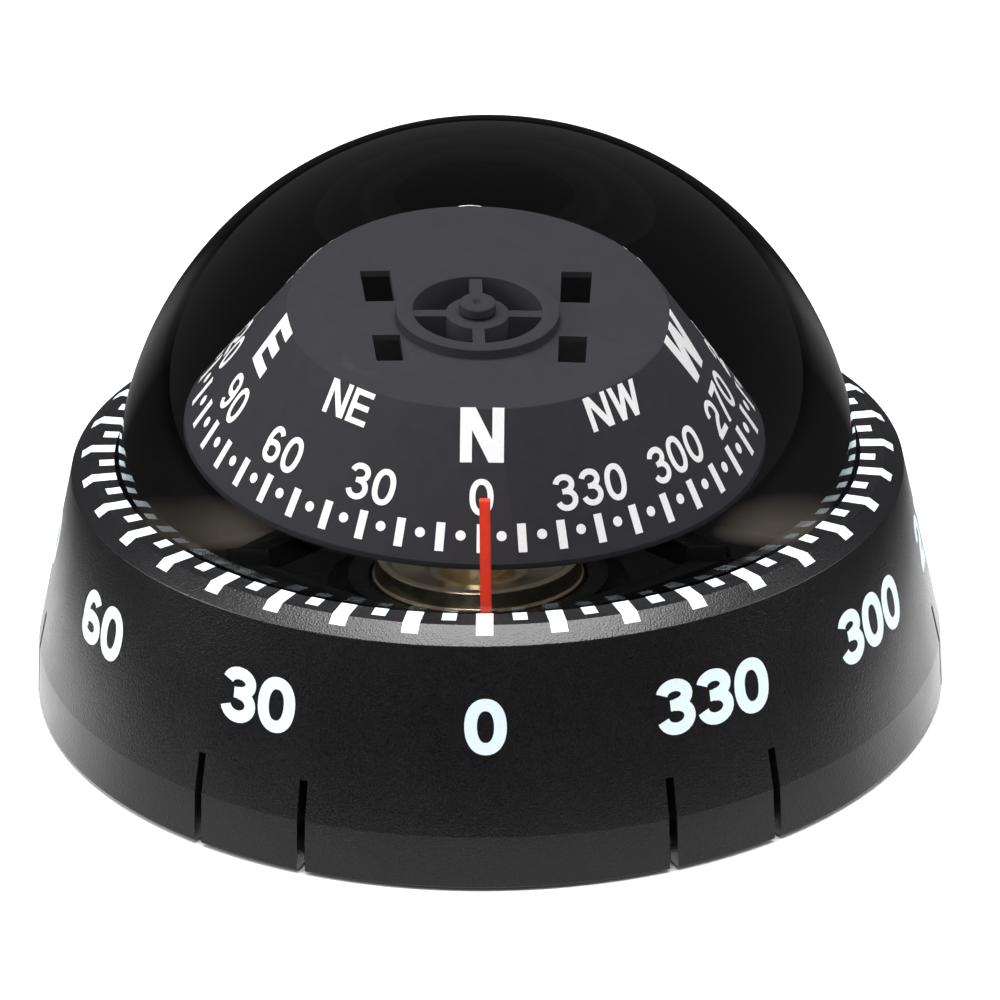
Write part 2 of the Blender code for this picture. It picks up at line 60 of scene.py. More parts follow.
def corner(node, index):
    """A node's lowest (0) or highest (1) corner, in millimetres."""
    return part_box(node)[index] / MM


# Driving dimensions, from the frame where it has them
LEDGE_Z = corner("bezel_ring", 1).z
BEZEL_R = corner("bezel_ring", 1).x
DOME_TOP = corner("dome", 1).z
DOME_R = 44.2
DOME_Z = DOME_TOP - DOME_R
OIL_IOR = 1.46            # acrylic and oil bend light almost alike, so they are one clear solid
GIMBAL = Vector(JOINTS["gimbal_roll"]["pos_m"]) / MM
NEEDLE_TIP = Vector(JOINTS["card_turn"]["pos_m"]) / MM
CARD_AXIS = Vector(JOINTS["card_turn"]["axis"])
CARD_HEADING = 1.7        # degrees that the card's zero stands right of the lubber line

# Bezel ring
WALL_TOP = (49.4, 28.2)
WALL_FOOT = (54.2, 6.7)
INNER_TOP = (47.6, 27.2)
INNER_FOOT = (52.2, 6.7)
RING_FOOT = 0.4
LEDGE_OUTER = 47.05
LEDGE_INNER = 44.2
SLOT_TOP = 11.35
SLOT_HALF = 0.53          # degrees
TAB_PLACES = range(30, 360, 60)
TAB_HALF = 7.3            # degrees from a tab's middle to its slot
HOOK_HALF = 4.5
BEZEL_COLUMNS = 288

# Card, heights from the needle's tip
CARD_TOP_R = 17.05
CARD_TOP = 2.8
CARD_RIM_R = 24.3
CARD_RIM = -10.6
CARD_WALL = 0.6
HUB_TOP = 3.85
HUB_FOOT = -0.2
BOSS_TOP = 3.65
WINDOW_AT = (8.35, 5.35)
WINDOW_SHIFT = (0.1, 0.45)
WINDOW_SIZE = (2.55, 4.85)

# Where the painted light on each side of the bowl's back is strongest, across and back from the axis
PAINTED_LIGHT_AT = (13.2, 33.0)
LUBBER_WIDTH = 1.12
PRINT = 0.02             # height of the printed marks above the surface
FINE = 192                # sides of a fine round piece
MEDIUM = 96


# ---------------------------------------------------------------- materials


def new_material(name, color, roughness, metallic=0.0, **inputs):
    material = bpy.data.materials.new(name)
    material.use_nodes = True
    shader = material.node_tree.nodes["Principled BSDF"]
    shader.inputs["Base Color"].default_value = (*color, 1.0)
    shader.inputs["Roughness"].default_value = roughness
    shader.inputs["Metallic"].default_value = metallic
    for key, value in inputs.items():
        shader.inputs[key.replace("_", " ")].default_value = value
    return material


def add_noise(material, scale, detail=2.0, distortion=0.0, stretch=(1.0, 1.0, 1.0)):
    """A noise texture in the piece's own coordinates; scale is the size of a grain in millimetres."""
    tree = material.node_tree
    place = tree.nodes.new("ShaderNodeTexCoord")
    mapping = tree.nodes.new("ShaderNodeMapping")
    mapping.inputs["Scale"].default_value = stretch
    noise = tree.nodes.new("ShaderNodeTexNoise")
    noise.inputs["Scale"].default_value = 1.0 / (scale * MM)
    noise.inputs["Detail"].default_value = detail
    noise.inputs["Distortion"].default_value = distortion
    tree.links.new(place.outputs["Object"], mapping.inputs["Vector"])
    tree.links.new(mapping.outputs["Vector"], noise.inputs["Vector"])
    return noise.outputs["Fac"]


def add_ramp(material, source, low, high, start=0.3, end=0.7):
    """Turns a 0 to 1 signal into a value, or a colour, between low and high."""
    tree = material.node_tree
    ramp = tree.nodes.new("ShaderNodeValToRGB")
    ramp.color_ramp.elements[0].position = start
    ramp.color_ramp.elements[1].position = end
    ramp.color_ramp.elements[0].color = (*low, 1.0) if isinstance(low, tuple) else (low, low, low, 1.0)
    ramp.color_ramp.elements[1].color = (*high, 1.0) if isinstance(high, tuple) else (high, high, high, 1.0)
    tree.links.new(source, ramp.inputs["Fac"])
    return ramp.outputs["Color"]


def add_bump(material, source, height, strength=1.0):
    """Bump of this height in millimetres."""
    tree = material.node_tree
    bump = tree.nodes.new("ShaderNodeBump")
    bump.inputs["Distance"].default_value = height * MM
    bump.inputs["Strength"].default_value = strength
    tree.links.new(source, bump.inputs["Height"])
    tree.links.new(bump.outputs["Normal"], tree.nodes["Principled BSDF"].inputs["Normal"])


def map_range(tree, values, results):
    node = tree.nodes.new("ShaderNodeMapRange")
    node.inputs["From Min"].default_value, node.inputs["From Max"].default_value = values
    node.inputs["To Min"].default_value, node.inputs["To Max"].default_value = results
    return node


def add_math(tree, operation):
    node = tree.nodes.new("ShaderNodeMath")
    node.operation = operation
    return node


def drive(material, key, source):
    material.node_tree.links.new(source, material.node_tree.nodes["Principled BSDF"].inputs[key])


def grained_plastic(name, color, roughness, grain, height):
    """Moulded plastic with a leather grain, and a random speckle of paler and darker colour, finer than the grain."""
    material = new_material(name, color, roughness, IOR=1.5)
    add_bump(material, add_noise(material, grain, detail=2.0), height)
    speckle = add_noise(material, grain / 2)
    low, high = tuple(c * 0.15 for c in color), tuple(c * 2.4 for c in color)
    drive(material, "Base Color", add_ramp(material, speckle, low, high, 0.4, 0.64))
    worn = add_noise(material, grain * 40.0)
    drive(material, "Roughness", add_ramp(material, worn, roughness * 0.9, roughness * 1.12))
    return material


def smooth_plastic(name, color, roughness, **inputs):
    """Plain moulded plastic: faint mottling in its colour and in its gloss."""
    material = new_material(name, color, roughness, **inputs)
    mottle = add_noise(material, 1.6, detail=4.0)
    low, high = tuple(c * 0.94 for c in color), tuple(c * 1.06 for c in color)
    drive(material, "Base Color", add_ramp(material, mottle, low, high))
    drive(material, "Roughness", add_ramp(material, mottle, roughness * 0.85, roughness * 1.15))
    add_bump(material, add_noise(material, 0.12), 0.004)
    return material


def add_sheen(material, color):
    """Paints a warm, paler patch on each side of the bowl's back: painted light, where light focused through the dome
    would fall.
    """
    tree = material.node_tree
    place = tree.nodes.new("ShaderNodeTexCoord")
    split = tree.nodes.new("ShaderNodeSeparateXYZ")
    side = add_math(tree, "ABSOLUTE")
    flat = tree.nodes.new("ShaderNodeCombineXYZ")
    away = tree.nodes.new("ShaderNodeVectorMath")
    away.operation = "DISTANCE"
    away.inputs[1].default_value = (*(c * MM for c in PAINTED_LIGHT_AT), 0.0)
    painted_light_amount = map_range(tree, (0.4 * MM, 2.0 * MM), (1.0, 0.0))
    mix = tree.nodes.new("ShaderNodeMix")
    mix.data_type = "RGBA"
    mix.inputs["B"].default_value = (*color, 1.0)
    shader = tree.nodes["Principled BSDF"]
    plain = shader.inputs["Base Color"].links[0].from_socket
    for source, target in (
        (place.outputs["Object"], split.inputs[0]), (split.outputs["X"], side.inputs[0]),
        (side.outputs["Value"], flat.inputs["X"]), (split.outputs["Y"], flat.inputs["Y"]),
        (flat.outputs["Vector"], away.inputs[0]), (away.outputs["Value"], painted_light_amount.inputs["Value"]),
        (painted_light_amount.outputs["Result"], mix.inputs["Factor"]), (plain, mix.inputs["A"]),
        (mix.outputs["Result"], shader.inputs["Base Color"]),
    ):
        tree.links.new(source, target)


def turned_metal(name, color, roughness, groove=0.05):
    """Metal off the lathe, with fine grooves that vary with height and tarnish in its colour."""
    material = new_material(name, color, roughness, metallic=1.0)
    grooves = add_noise(material, groove, stretch=(0.02, 0.02, 1.0))
    add_bump(material, grooves, 0.006)
    tarnish = add_noise(material, 2.2, detail=4.0)
    low = tuple(c * 0.62 for c in color)
    drive(material, "Base Color", add_ramp(material, tarnish, low, color))
    drive(material, "Roughness", add_ramp(material, tarnish, roughness * 1.4, roughness * 0.8))
    return material


def printed_white(name, color):
    material = new_material(name, color, 0.45, IOR=1.45)
    speckle = add_noise(material, 0.25, detail=3.0)
    low = tuple(c * 0.93 for c in color)
    drive(material, "Base Color", add_ramp(material, speckle, low, color))
    add_bump(material, speckle, 0.004)
    return material


IN_OIL = {"Specular_IOR_Level": 0.02}     # in oil of nearly its own index, plastic has no gloss

grain_black = grained_plastic("bezel grain", (0.0055, 0.0051, 0.0058), 0.3, 0.24, 0.055)
satin_black = smooth_plastic("bezel satin", (0.007, 0.007, 0.008), 0.35)
base_black = smooth_plastic("base black", (0.015, 0.015, 0.016), 0.5)
bowl_black = smooth_plastic("bowl black", (0.0018, 0.0016, 0.0018), 0.5, **IN_OIL)
# Painted light: a warm patch on each side of the bowl's back stands in for light focused there through the dome
add_sheen(bowl_black, (0.046, 0.039, 0.032))
card_black = smooth_plastic("card black", (0.033, 0.032, 0.037), 0.5, **IN_OIL)
frame_black = smooth_plastic("gimbal black", (0.0025, 0.0025, 0.0025), 0.3, Specular_IOR_Level=0.15)
rubber = smooth_plastic("rubber", (0.012, 0.012, 0.012), 0.75)
lubber_red = smooth_plastic("lubber red", (0.95, 0.06, 0.03), 0.5, **IN_OIL)
brass = turned_metal("brass", (0.86, 0.72, 0.5), 0.2)
dark_brass = turned_metal("blackened brass", (0.009, 0.008, 0.007), 0.45)
seal_rubber = smooth_plastic("oiled rubber", (0.002, 0.002, 0.002), 0.6, **IN_OIL)
steel = turned_metal("stainless steel", (0.62, 0.62, 0.63), 0.28)
magnet_steel = turned_metal("magnet steel", (0.3, 0.3, 0.31), 0.4)
ruby = new_material("ruby", (0.5, 0.02, 0.05), 0.05, Transmission_Weight=0.6)
bezel_white = printed_white("bezel print", (0.66, 0.77, 0.83))
card_white = printed_white("card print", (0.9, 0.9, 0.9))
clear = new_material("clear acrylic and oil", (1.0, 1.0, 1.0), 0.0, Transmission_Weight=1.0, IOR=OIL_IOR)


# ---------------------------------------------------------------- mesh tools


def at(radius, angle, height=0.0):
    turn = math.radians(angle)
    return Vector((radius * math.sin(turn), -radius * math.cos(turn), height))


def rounded(profile, closed=False, steps=4):
    """Rounds each corner of a profile by its own radius."""
    points = [Vector(p[:2]) for p in profile]
    radii = [p[2] if len(p) > 2 else 0.0 for p in profile]
    count = len(points)
    result = []
    for i, point in enumerate(points):
        if not radii[i] or (not closed and i in (0, count - 1)):
            result.append(point)
            continue
        back, ahead = points[i - 1] - point, points[(i + 1) % count] - point
        half = back.angle(ahead) / 2
        reach = min(radii[i] / math.tan(half), back.length * 0.49, ahead.length * 0.49)
        first, last = point + back.normalized() * reach, point + ahead.normalized() * reach
        for step in range(steps + 1):
            t = step / steps
            result.append((1 - t) ** 2 * first + 2 * t * (1 - t) * point + t * t * last)
    return [(p.x, p.y) for p in result]


def arc(centre, radii, start, end, steps=16, square=1.0):
    """Points on an ellipse between two angles in degrees; square under 1 fills its corners."""
    points = []
    for step in range(steps + 1):
        turn = math.radians(start + (end - start) * step / steps)
        cos, sin = math.cos(turn), math.sin(turn)
        x = math.copysign(abs(cos) ** square, cos)
        y = math.copysign(abs(sin) ** square, sin)
        points.append(Vector((centre[0] + radii[0] * x, centre[1] + radii[1] * y)))
    return points


def revolve(bm, profile, segments, closed=True, centre=(0.0, 0.0)):
    """Turns a profile round a vertical axis. An open profile starts and ends on the axis."""
    middle = Vector((*centre, 0.0))
    columns = []
    poles = {
        i: bm.verts.new((middle + Vector((0.0, 0.0, z))) * MM)
        for i, (r, z) in enumerate(profile) if r < 1e-6
    }
    for k in range(segments):
        turn = 360.0 * k / segments
        columns.append([
            poles.get(i) or bm.verts.new((middle + at(r, turn, z)) * MM)
            for i, (r, z) in enumerate(profile)
        ])
    pairs = list(zip(range(len(profile) - 1), range(1, len(profile))))
    if closed:
        pairs.append((len(profile) - 1, 0))
    for k in range(segments):
        here, there = columns[k], columns[(k + 1) % segments]
        for i, j in pairs:
            face = []
            for vert in (here[i], here[j], there[j], there[i]):
                if vert not in face:
                    face.append(vert)
            if len(face) > 2:
                bm.faces.new(face)


def arc_block(bm, profile, start, end, steps):
    """A block with this profile between two angles, closed by flat ends."""
    rows = []
    for step in range(steps + 1):
        turn = start + (end - start) * step / steps
        rows.append([bm.verts.new(at(r, turn, z) * MM) for r, z in profile])
    for row, following in zip(rows, rows[1:]):
        for i in range(len(profile)):
            j = (i + 1) % len(profile)
            bm.faces.new((row[i], row[j], following[j], following[i]))
    bm.faces.new(rows[0])
    bm.faces.new(list(reversed(rows[-1])))


def box(bm, low, high, turn=0.0):
    low, high = Vector(low), Vector(high)
    matrix = (
        Matrix.Rotation(math.radians(turn), 4, "Z")
        @ Matrix.Translation((low + high) / 2 * MM)
        @ Matrix.Diagonal((*((high - low) * MM), 1.0))
    )
    bmesh.ops.create_cube(bm, size=1.0, matrix=matrix)


def finish_mesh(bm, name, sharp=30.0):
    bmesh.ops.recalc_face_normals(bm, faces=bm.faces)
    mesh = bpy.data.meshes.new(name)
    bm.to_mesh(mesh)
    bm.free()
    mesh.shade_smooth()
    mesh.set_sharp_from_angle(angle=math.radians(sharp))
    return mesh


def link(name, mesh):
    obj = bpy.data.objects.new(name, mesh)
    bpy.context.scene.collection.objects.link(obj)
    return obj


def combine(base, others):
    """The mesh of base after Booleans; others is a list of (operation, bmesh)."""
    body = link("body", finish_mesh(base, "body"))
    tools = []
    for operation, bm in others:
        tool = link("tool", finish_mesh(bm, "tool"))
        modifier = body.modifiers.new("boolean", "BOOLEAN")
        modifier.operation, modifier.solver, modifier.object = operation, "EXACT", tool
        tools.append(tool)
    graph = bpy.context.evaluated_depsgraph_get()
    mesh = bpy.data.meshes.new_from_object(body.evaluated_get(graph))
    for obj in (body, *tools):
        bpy.data.objects.remove(obj)
    return mesh


def add_piece(name, mesh, material, body, replaces=(), matrix=None):
    """A finished piece: its material, the body it rides on and the nodes it stands for."""
    if isinstance(mesh, bmesh.types.BMesh):
        mesh = finish_mesh(mesh, name)
    if matrix is not None:
        mesh.transform(matrix)
    mesh.materials.clear()
    for each in material if isinstance(material, tuple) else (material,):
        mesh.materials.append(each)
    obj = link(name, mesh)
    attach(obj, body)
    if replaces:
        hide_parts(*replaces)
    return obj


def soften(obj, width, segments=2, angle=30.0):
    """Welds the seams of a carried-over mesh and rounds its edges."""
    obj.data.polygons.foreach_set("use_smooth", [True] * len(obj.data.polygons))
    weld = obj.modifiers.new("weld", "WELD")
    weld.merge_threshold = 1e-6
    bevel = obj.modifiers.new("bevel", "BEVEL")
    bevel.width = width * MM
    bevel.segments = segments
    bevel.limit_method = "ANGLE"
    bevel.angle_limit = math.radians(angle)
    bevel.harden_normals = True
    return obj


def carry_over(node, material, width=0.12):
    """A CAD node that stays: its edges are rounded and it gets a proper material."""
    obj = frame["nodes"][node]
    for slot in obj.material_slots:
        slot.material = material
    return soften(obj, width)


# ---------------------------------------------------------------- lettering


def ribbon(points, width, closed=False):
    """Left and right edges of a stroke along a centre line."""
    count = len(points)
    pairs = []
    for i, point in enumerate(points):
        before = points[i - 1] if closed or i else point
        after = points[(i + 1) % count] if closed or i < count - 1 else point
        along = (after - before).normalized()
        side = Vector((-along.y, along.x)) * width / 2
        pairs.append((point + side, point - side))
    return pairs, closed


def bar(start, end, width, steps=8):
    """A straight stroke whose ends are cut level."""
    start, end, side = Vector(start), Vector(end), Vector((width / 2, 0.0))
    spine = [start.lerp(end, i / steps) for i in range(steps + 1)]
    return [(p - side, p + side) for p in spine], False


def line(start, end, width, steps=8):
    """A straight stroke whose ends are cut square."""
    start, end = Vector(start), Vector(end)
    return ribbon([start.lerp(end, i / steps) for i in range(steps + 1)], width)


def curve(start, bend, end, steps=10):
    start, bend, end = Vector(start), Vector(bend), Vector(end)
    ts = [i / steps for i in range(steps + 1)]
    return [(1 - t) ** 2 * start + 2 * t * (1 - t) * bend + t * t * end for t in ts]


def ring_stroke(centre, radii, width, square=0.9):
    points = arc(centre, radii, 0.0, 360.0, 40, square)[:-1]
    return ribbon(points, width, closed=True)


def glyph(char, wide, heavy):
    """Strokes of a character one unit high; wide is a digit's width and heavy a stroke's."""
    half, top, right = heavy / 2, 1 - heavy / 2, wide - heavy / 2
    mid_x, reach = wide / 2, (wide - heavy) / 2
    if char == "0":
        return [ring_stroke((mid_x, 0.5), (reach, 0.5 - half), heavy)]
    if char == "1":
        stem = wide * 0.62
        flag = curve((stem - wide * 0.42, 0.74), (stem - wide * 0.06, 0.76), (stem, 0.97))
        return [bar((stem, 0.0), (stem, 1.0), heavy), ribbon(flag, heavy * 0.72)]
    if char == "2":
        round_r = 0.29
        bow = arc((mid_x, top - round_r), (reach, round_r), 178.0, -32.0, 18)
        tail = curve(bow[-1], (mid_x * 0.98, 0.42), (half * 1.15, heavy * 0.55))
        return [ribbon(bow + tail[1:], heavy), line((0.02, half), (wide, half), heavy)]
    if char == "3":
        waist = 0.535
        upper, lower = (top - waist) / 2, (waist - half) / 2
        first = arc((mid_x, waist + upper), (reach * 0.93, upper), 168.0, -90.0, 18)
        second = arc((mid_x, half + lower), (reach, lower), 90.0, -170.0, 18)
        middle = line((mid_x - wide * 0.13, waist), (mid_x + 0.02, waist), heavy * 0.9, 3)
        return [ribbon(first, heavy), ribbon(second, heavy), middle]
    if char == "4":
        stem, level = wide * 0.72, 0.3
        slope = line((half * 1.1, level), (stem - half * 0.2, top - half * 0.2), heavy * 0.95)
        return [bar((stem, 0.0), (stem, 1.0), heavy), slope, line((0.0, level - 0.02), (wide, level - 0.02), heavy)]
    if char == "5":
        round_r = (0.66 - half) / 2
        bowl = arc((mid_x, half + round_r), (reach, round_r), 140.0, -168.0, 20)
        stem = line((wide * 0.24, top + half), (wide * 0.17, 0.42), heavy * 0.9)
        return [ribbon(bowl, heavy), stem, line((wide * 0.16, top), (wide * 0.95, top), heavy)]
    if char in "69":
        bowl_r = (0.62 - heavy) / 2
        bowl = ring_stroke((mid_x, half + bowl_r), (reach, bowl_r), heavy)
        back = ribbon(arc((mid_x, 0.5), (reach, 0.5 - half), 218.0, 44.0, 24, 0.95), heavy)
        if char == "6":
            return [bowl, back]
        centre = Vector((wide, 1.0))
        return [([(centre - a, centre - b) for a, b in pairs], closed) for pairs, closed in (bowl, back)]
    if char == "7":
        leg = curve((right, top), (wide * 0.5, 0.5), (wide * 0.36, 0.0))
        return [line((0.03, top), (wide, top), heavy), ribbon(leg, heavy)]
    if char == "8":
        waist = 0.53
        upper, lower = (top - waist) / 2, (waist - half) / 2
        return [ring_stroke((mid_x, waist + upper), (reach * 0.92, upper), heavy, 1.0),
                ring_stroke((mid_x, half + lower), (reach, lower), heavy, 1.0)]
    if char == "N":
        slope = heavy * 1.28
        return [bar((half, 0.0), (half, 1.0), heavy), bar((right, 0.0), (right, 1.0), heavy),
                bar((slope / 2, 1.0), (wide - slope / 2, 0.0), slope)]
    if char == "E":
        arms = [line((half, y), (wide * reach_x, y), heavy) for y, reach_x in ((half, 1.0), (0.51, 0.93), (top, 0.98))]
        return [bar((half, 0.0), (half, 1.0), heavy), *arms]
    if char == "S":
        upper = (top - half) * 0.245
        lower = (top - half) / 2 - upper
        bow = arc((mid_x, top - upper), (reach * 0.95, upper), 12.0, 250.0, 20)
        tail = arc((mid_x, half + lower), (reach, lower), 70.0, -168.0, 20)
        return [ribbon(bow + tail, heavy)]
    if char == "W":
        outer = heavy * 1.08
        xs = (outer / 2, wide * 0.27, wide * 0.5, wide * 0.73, wide - outer / 2)
        return [bar((a, float(i % 2 == 0)), (b, float(i % 2)), outer) for i, (a, b) in enumerate(zip(xs, xs[1:]))]
    raise ValueError(char)


LETTER_WIDTH = {"N": 1.08, "E": 0.96, "S": 1.0, "W": 1.5}


def stroke_solid(pairs, closed):
    """A stroke as a thin solid from PRINT below to PRINT above the surface it lies on."""
    bm = bmesh.new()
    rows = []
    for left, right in pairs:
        rows.append([bm.verts.new((p.x, p.y, z)) for p, z in
                     ((left, -1.0), (right, -1.0), (right, 1.0), (left, 1.0))])
    following = rows[1:] + rows[:1] if closed else rows[1:]
    for row, after in zip(rows, following):
        for i in range(4):
            j = (i + 1) % 4
            bm.faces.new((row[i], row[j], after[j], after[i]))
    if not closed:
        bm.faces.new(rows[0])
        bm.faces.new(list(reversed(rows[-1])))
    return bm


made_glyphs = {}


def glyph_mesh(char, wide, heavy):
    key = (char, wide, heavy)
    if key not in made_glyphs:
        solids = [stroke_solid(*stroke) for stroke in glyph(char, wide, heavy)]
        made_glyphs[key] = combine(solids[0], [("UNION", solid) for solid in solids[1:]])
    return made_glyphs[key]


def put_label(bm, text, cap, digit_width, weight, gap, place):
    """Lays a word on a surface; place turns flat (x, y, height) into a point, from the word's middle."""
    widths = [digit_width * LETTER_WIDTH.get(char, 1.0) for char in text]
    x = -(sum(widths) + gap * (len(text) - 1)) / 2
    for char, wide in zip(text, widths):
        mesh = glyph_mesh(char, wide / cap, weight / cap)
        verts = [
            bm.verts.new(place(x + v.co.x * cap, (v.co.y - 0.5) * cap, v.co.z * PRINT) * MM)
            for v in mesh.vertices
        ]
        for face in mesh.polygons:
            bm.faces.new([verts[i] for i in face.vertices])
        x += wide + gap


class Cone:
    """A cone that marks are laid on as a flat print would be; distance runs down its slope."""

    def __init__(self, top, foot):
        self.top = top
        self.length = math.dist(top, foot)
        self.out = (foot[0] - top[0]) / self.length
        self.down = (top[1] - foot[1]) / self.length

    def place(self, angle, distance):
        tip = self.top[0] / self.out
        middle = tip + distance

        def point(x, y, height=0.0):
            from_tip = math.hypot(x, middle - y)
            turn = math.degrees(math.atan2(x, middle - y)) / self.out
            radius = from_tip * self.out + height * self.down
            level = self.top[1] - (from_tip - tip) * self.down + height * self.out
            return at(radius, angle + turn, level)

        return point


# ---------------------------------------------------------------- the bezel ring


def bezel_profile():
    """Outline of the ring, from the slot's top on its outer wall up, over the top and down inside."""
    slope = (WALL_FOOT[0] - WALL_TOP[0]) / (WALL_TOP[1] - WALL_FOOT[1])
    outer_slot = (WALL_TOP[0] + slope * (WALL_TOP[1] - SLOT_TOP), SLOT_TOP)
    inner_slope = (INNER_FOOT[0] - INNER_TOP[0]) / (INNER_TOP[1] - INNER_FOOT[1])
    inner_slot = (INNER_TOP[0] + inner_slope * (INNER_TOP[1] - SLOT_TOP), SLOT_TOP)
    upper = rounded([
        outer_slot, (*WALL_TOP, 0.22), (LEDGE_OUTER, LEDGE_Z, 0.1), (LEDGE_INNER, LEDGE_Z, 0.15),
        (LEDGE_INNER, 28.3, 0.15), (46.4, 28.0), (*INNER_TOP, 0.4), inner_slot,
    ])
    lower = rounded([
        inner_slot, (*INNER_FOOT, 0.3), (BEZEL_R - 2.0, RING_FOOT, 0.1), (BEZEL_R, RING_FOOT, 0.25),
        (*WALL_FOOT, 0.35), outer_slot,
    ])
    return upper, lower[1:-1]


def slot_edges():
    middles = [tab + side for tab in TAB_PLACES for side in (-TAB_HALF, TAB_HALF)]
    return [(middle - SLOT_HALF, middle + SLOT_HALF) for middle in middles]


def make_bezel():
    upper, lower = bezel_profile()
    profile = upper + lower
    slots = slot_edges()
    turns = [360.0 * k / BEZEL_COLUMNS for k in range(BEZEL_COLUMNS)]
    turns = [t for t in turns if not any(a - 0.2 < t < b + 0.2 for a, b in slots)]
    turns = sorted(turns + [edge for slot in slots for edge in slot])
    starts = {round(a, 4) for a, _ in slots}
    ends = {round(b, 4) for _, b in slots}
    bm = bmesh.new()
    columns = [[bm.verts.new(at(r, turn, z) * MM) for r, z in profile] for turn in turns]
    count, last_upper = len(profile), len(upper) - 1
    for k, turn in enumerate(turns):
        here, there = columns[k], columns[(k + 1) % len(turns)]
        in_slot = round(turn, 4) in starts
        for i in range(last_upper if in_slot else count):
            j = (i + 1) % count
            face = bm.faces.new((here[i], here[j], there[j], there[i]))
            heights = (profile[i][1] + profile[j][1]) / 2
            radius = (profile[i][0] + profile[j][0]) / 2
            outside = radius > LEDGE_OUTER and heights > WALL_FOOT[1] and i < last_upper - 3
            face.material_index = 0 if outside or heights > WALL_FOOT[1] and i >= count - 2 else 1
        if in_slot:
            bm.faces.new((here[last_upper], here[0], there[0], there[last_upper])).material_index = 1
        if in_slot or round(turn, 4) in ends:
            side = here[last_upper:] + here[:1]
            bm.faces.new(side).material_index = 1
    hook = [(50.1, 3.4), (50.5, 2.9), (53.0, 2.9), (53.0, 4.4), (50.1, 4.4)]
    for tab in TAB_PLACES:
        arc_block(bm, hook, tab - HOOK_HALF, tab + HOOK_HALF, 8)
    return add_piece("bezel", bm, (grain_black, satin_black), "bezel", ["bezel_ring"])


def make_bezel_marks():
    """The long marks run over the ledge's edge and half way down the bevel; the short ones are squares."""
    start = (LEDGE_INNER + 0.05, LEDGE_Z)
    bevel_slope = (LEDGE_Z - WALL_TOP[1]) / (WALL_TOP[0] - LEDGE_OUTER)
    long_end = 48.2
    long_path = rounded([start, (LEDGE_OUTER, LEDGE_Z, 0.1), (long_end, LEDGE_Z - bevel_slope * (long_end - LEDGE_OUTER))])
    short_path = [start, (46.0, LEDGE_Z)]
    bm = bmesh.new()
    for number in range(72):
        turn = 5.0 * number
        path, width = (long_path, 1.92) if number % 2 == 0 else (short_path, 1.62)
        path = [Vector(p) for p in path]
        tangent = [(b - a).normalized() for a, b in zip(path, path[1:])]
        tangent = [tangent[0], *[(a + b).normalized() for a, b in zip(tangent, tangent[1:])], tangent[-1]]
        rows = []
        for point, along in zip(path, tangent):
            normal = Vector((-along.y, along.x))
            row = []
            for height in (-PRINT, PRINT):
                place = point + normal * height
                for side in (-width / 2, width / 2):
                    row.append(bm.verts.new((at(place.x, turn, place.y) + at(side, turn + 90.0)) * MM))
            rows.append([row[0], row[1], row[3], row[2]])
        for row, after in zip(rows, rows[1:]):
            for i in range(4):
                j = (i + 1) % 4
                bm.faces.new((row[i], row[j], after[j], after[i]))
        bm.faces.new(rows[0])
        bm.faces.new(list(reversed(rows[-1])))
    add_piece("bezel_ticks", bm, bezel_white, "bezel")

    wall = Cone(WALL_TOP, WALL_FOOT)
    middle = (WALL_TOP[1] - 19.2) / wall.down
    bm = bmesh.new()
    for degrees in range(0, 360, 30):
        place = wall.place(-degrees, middle)
        put_label(bm, str(degrees), 6.5, 4.75, 1.42, 0.28, place)
    add_piece("bezel_numerals", bm, bezel_white, "bezel")


# ---------------------------------------------------------------- dome, card and gimbal


def make_dome():
    """Dome and oil as one clear solid. Its foot and its flange are hidden in the black bowl's walls."""
    steps = 96
    shell = [(0.0, DOME_TOP)]
    for step in range(1, steps + 1):
        turn = math.radians(90.0 - 90.0 * step / steps)
        shell.append((DOME_R * math.cos(turn), DOME_Z + DOME_R * math.sin(turn)))
    foot = [
        (DOME_R, 19.2), (48.2, 19.2), (48.2, 16.5), (DOME_R, 15.5),
        (42.5, 14.2), (41.4, 10.5), (39.0, 7.1), (35.8, 5.2), (0.0, 5.2),
    ]
    bm = bmesh.new()
    revolve(bm, shell + foot, 256, closed=False)
    dome = add_piece("dome_with_oil", bm, clear, "root", ["dome"])
    dome.visible_shadow = False
    return dome


def card_matrix():
    """From the card's own frame, with its origin on the needle's tip, to the row frame."""
    lean_x, lean_y = -math.asin(CARD_AXIS.y), math.atan2(CARD_AXIS.x, CARD_AXIS.z)
    return (
        Matrix.Translation(NEEDLE_TIP * MM)
        @ Matrix.Rotation(lean_y, 4, "Y")
        @ Matrix.Rotation(lean_x, 4, "X")
        @ Matrix.Rotation(math.radians(CARD_HEADING), 4, "Z")
    )


